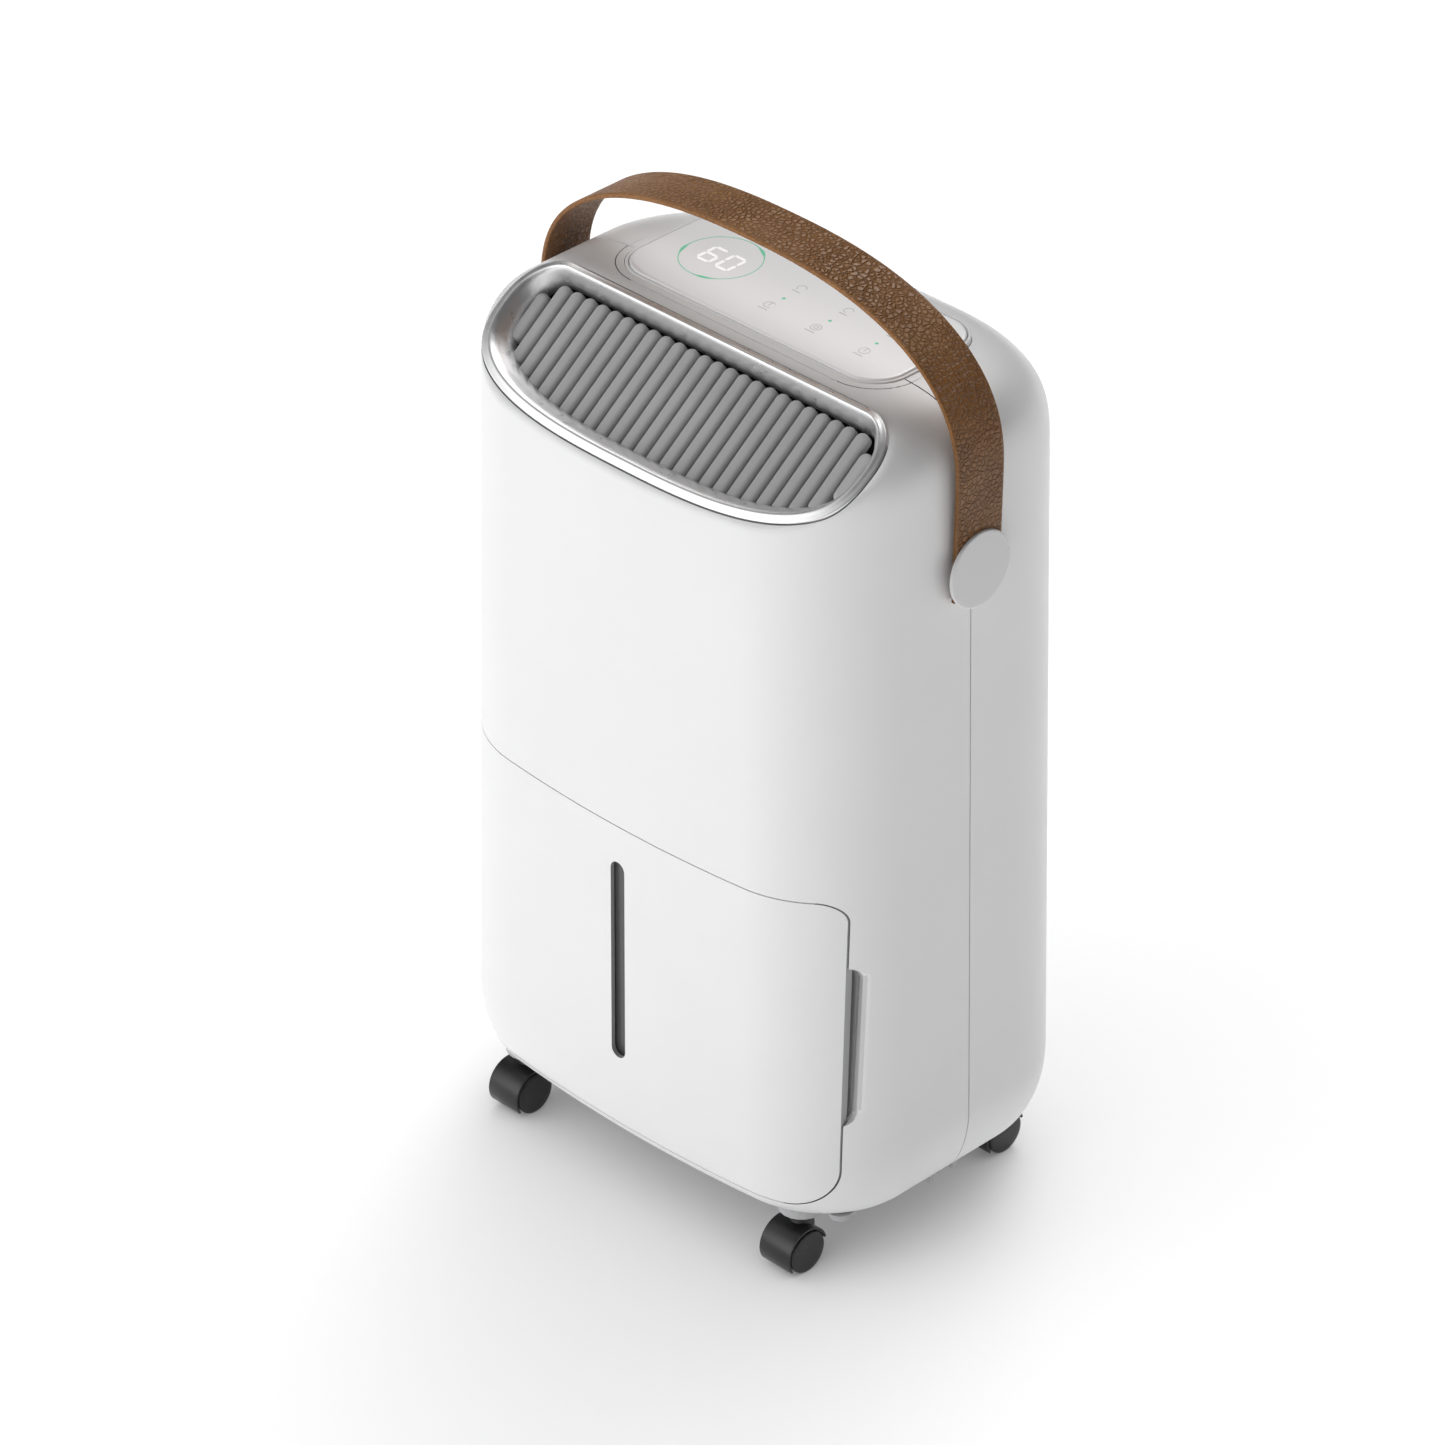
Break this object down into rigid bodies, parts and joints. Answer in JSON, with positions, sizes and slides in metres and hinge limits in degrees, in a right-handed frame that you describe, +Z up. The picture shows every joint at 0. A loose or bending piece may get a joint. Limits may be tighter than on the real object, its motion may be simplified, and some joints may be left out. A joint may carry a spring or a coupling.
{
  "type": "portable dehumidifier",
  "caption": "Portable room dehumidifier with a pull-out water tank, sloping air outlet, touch panel, leather strap handle and swivelling twin-wheel casters.",
  "frame": {"origin": "on the floor under the middle of the housing", "axes": "+X towards the side on the viewer's right when the viewer faces the front; -Y towards the front; +Z up"},
  "size_m": [0.2984, 0.2096, 0.5476],
  "materials": {
    "white_abs": "satin moulded white ABS",
    "panel_gloss": "polished off-white touch panel",
    "satin_silver": "satin silver plated plastic",
    "grey_abs": "fine matte grey plastic",
    "brown_leather": "pebbled brown leather",
    "cap_grey": "satin light grey cap",
    "smoked_window": "smoked clear window, polished",
    "tank_polypropylene": "translucent grey polypropylene",
    "black_nylon": "satin black nylon",
    "steel": "plated steel",
    "copper": "bare copper tube",
    "aluminium_fin": "plain aluminium",
    "black_paint": "black enamel",
    "circuit_board": "green solder mask",
    "white_foam": "closed cell foam",
    "filter_mesh": "fine dark mesh",
    "display_module": "dark display lens",
    "rubber": "matte rubber"
  },
  "bodies": {
    "housing": {"front_shell": "white_abs", "rear_shell": "white_abs", "humidity_sensor": "white_abs", "control_panel": "panel_gloss", "outlet_bezel": "satin_silver", "outlet_grille": "grey_abs", "base_plate": "grey_abs", "bay_partition": "grey_abs", "drain_port": "grey_abs", "drip_tray": "tank_polypropylene", "pivot_pin_left": "steel", "pivot_pin_right": "steel", "fan_motor": "steel", "shell_screw_1": "steel", "shell_screw_2": "steel", "shell_screw_3": "steel", "shell_screw_4": "steel", "refrigerant_tube": "copper", "evaporator": "aluminium_fin", "condenser": "aluminium_fin", "run_capacitor": "aluminium_fin", "compressor": "black_paint", "control_board": "circuit_board", "power_board": "circuit_board", "display_module": "display_module", "compressor_foot_1": "rubber", "compressor_foot_2": "rubber", "compressor_foot_3": "rubber", "float_switch": "black_nylon", "fan_scroll": "black_nylon", "power_inlet": "black_nylon"},
    "handle": {"handle_strap": "brown_leather", "handle_cap_left": "cap_grey", "handle_cap_right": "cap_grey"},
    "tank": {"tank_front": "white_abs", "tank_window": "smoked_window", "tank_bucket": "tank_polypropylene", "tank_lid": "tank_polypropylene", "float_pin": "steel"},
    "tank_float": {"tank_float": "white_foam"},
    "filter": {"intake_grille": "white_abs", "filter_frame": "grey_abs", "filter_mesh": "filter_mesh"},
    "fan": {"fan_wheel": "black_nylon"},
    "caster_front_left": {"caster_front_left_hood": "black_nylon", "caster_front_left_axle": "steel"},
    "wheel_front_left_left": {"caster_front_left_wheel_left": "black_nylon"},
    "wheel_front_left_right": {"caster_front_left_wheel_right": "black_nylon"},
    "caster_front_right": {"caster_front_right_hood": "black_nylon", "caster_front_right_axle": "steel"},
    "wheel_front_right_left": {"caster_front_right_wheel_left": "black_nylon"},
    "wheel_front_right_right": {"caster_front_right_wheel_right": "black_nylon"},
    "caster_rear_left": {"caster_rear_left_hood": "black_nylon", "caster_rear_left_axle": "steel"},
    "wheel_rear_left_left": {"caster_rear_left_wheel_left": "black_nylon"},
    "wheel_rear_left_right": {"caster_rear_left_wheel_right": "black_nylon"},
    "caster_rear_right": {"caster_rear_right_hood": "black_nylon", "caster_rear_right_axle": "steel"},
    "wheel_rear_right_left": {"caster_rear_right_wheel_left": "black_nylon"},
    "wheel_rear_right_right": {"caster_rear_right_wheel_right": "black_nylon"}
  },
  "joints": [
    {"name": "handle_hinge", "type": "hinge", "parent": "housing", "child": "handle", "pos_m": [0, 0.005, 0.409], "axis": [1, 0, 0], "range_deg": [-90, 90]},
    {"name": "tank_slide", "type": "slide", "parent": "housing", "child": "tank", "axis": [0, -1, 0], "range_m": [0, 0.15]},
    {"name": "float_tip", "type": "hinge", "parent": "tank", "child": "tank_float", "pos_m": [-0.088, -0.022, 0.19], "axis": [-1, 0, 0], "range_deg": [0, 15]},
    {"name": "filter_slide", "type": "slide", "parent": "housing", "child": "filter", "axis": [0, 1, 0], "range_m": [0, 0.03]},
    {"name": "fan_spin", "type": "hinge", "parent": "housing", "child": "fan", "pos_m": [0, -0.022, 0.33], "axis": [0, 1, 0], "continuous": true},
    {"name": "caster_front_left_swivel", "type": "hinge", "parent": "housing", "child": "caster_front_left", "pos_m": [-0.102, -0.072, 0.0122], "axis": [0, 0, 1], "continuous": true},
    {"name": "wheel_front_left_left_spin", "type": "hinge", "parent": "caster_front_left", "child": "wheel_front_left_left", "pos_m": [-0.102, -0.078, 0.0122], "axis": [1, 0, 0], "continuous": true},
    {"name": "wheel_front_left_right_spin", "type": "hinge", "parent": "caster_front_left", "child": "wheel_front_left_right", "pos_m": [-0.102, -0.078, 0.0122], "axis": [1, 0, 0], "continuous": true},
    {"name": "caster_front_right_swivel", "type": "hinge", "parent": "housing", "child": "caster_front_right", "pos_m": [0.102, -0.072, 0.0122], "axis": [0, 0, 1], "continuous": true},
    {"name": "wheel_front_right_left_spin", "type": "hinge", "parent": "caster_front_right", "child": "wheel_front_right_left", "pos_m": [0.102, -0.078, 0.0122], "axis": [1, 0, 0], "continuous": true},
    {"name": "wheel_front_right_right_spin", "type": "hinge", "parent": "caster_front_right", "child": "wheel_front_right_right", "pos_m": [0.102, -0.078, 0.0122], "axis": [1, 0, 0], "continuous": true},
    {"name": "caster_rear_left_swivel", "type": "hinge", "parent": "housing", "child": "caster_rear_left", "pos_m": [-0.102, 0.079, 0.0122], "axis": [0, 0, 1], "continuous": true},
    {"name": "wheel_rear_left_left_spin", "type": "hinge", "parent": "caster_rear_left", "child": "wheel_rear_left_left", "pos_m": [-0.102, 0.073, 0.0122], "axis": [1, 0, 0], "continuous": true},
    {"name": "wheel_rear_left_right_spin", "type": "hinge", "parent": "caster_rear_left", "child": "wheel_rear_left_right", "pos_m": [-0.102, 0.073, 0.0122], "axis": [1, 0, 0], "continuous": true},
    {"name": "caster_rear_right_swivel", "type": "hinge", "parent": "housing", "child": "caster_rear_right", "pos_m": [0.102, 0.079, 0.0122], "axis": [0, 0, 1], "continuous": true},
    {"name": "wheel_rear_right_left_spin", "type": "hinge", "parent": "caster_rear_right", "child": "wheel_rear_right_left", "pos_m": [0.102, 0.073, 0.0122], "axis": [1, 0, 0], "continuous": true},
    {"name": "wheel_rear_right_right_spin", "type": "hinge", "parent": "caster_rear_right", "child": "wheel_rear_right_right", "pos_m": [0.102, 0.073, 0.0122], "axis": [1, 0, 0], "continuous": true}
  ]
}
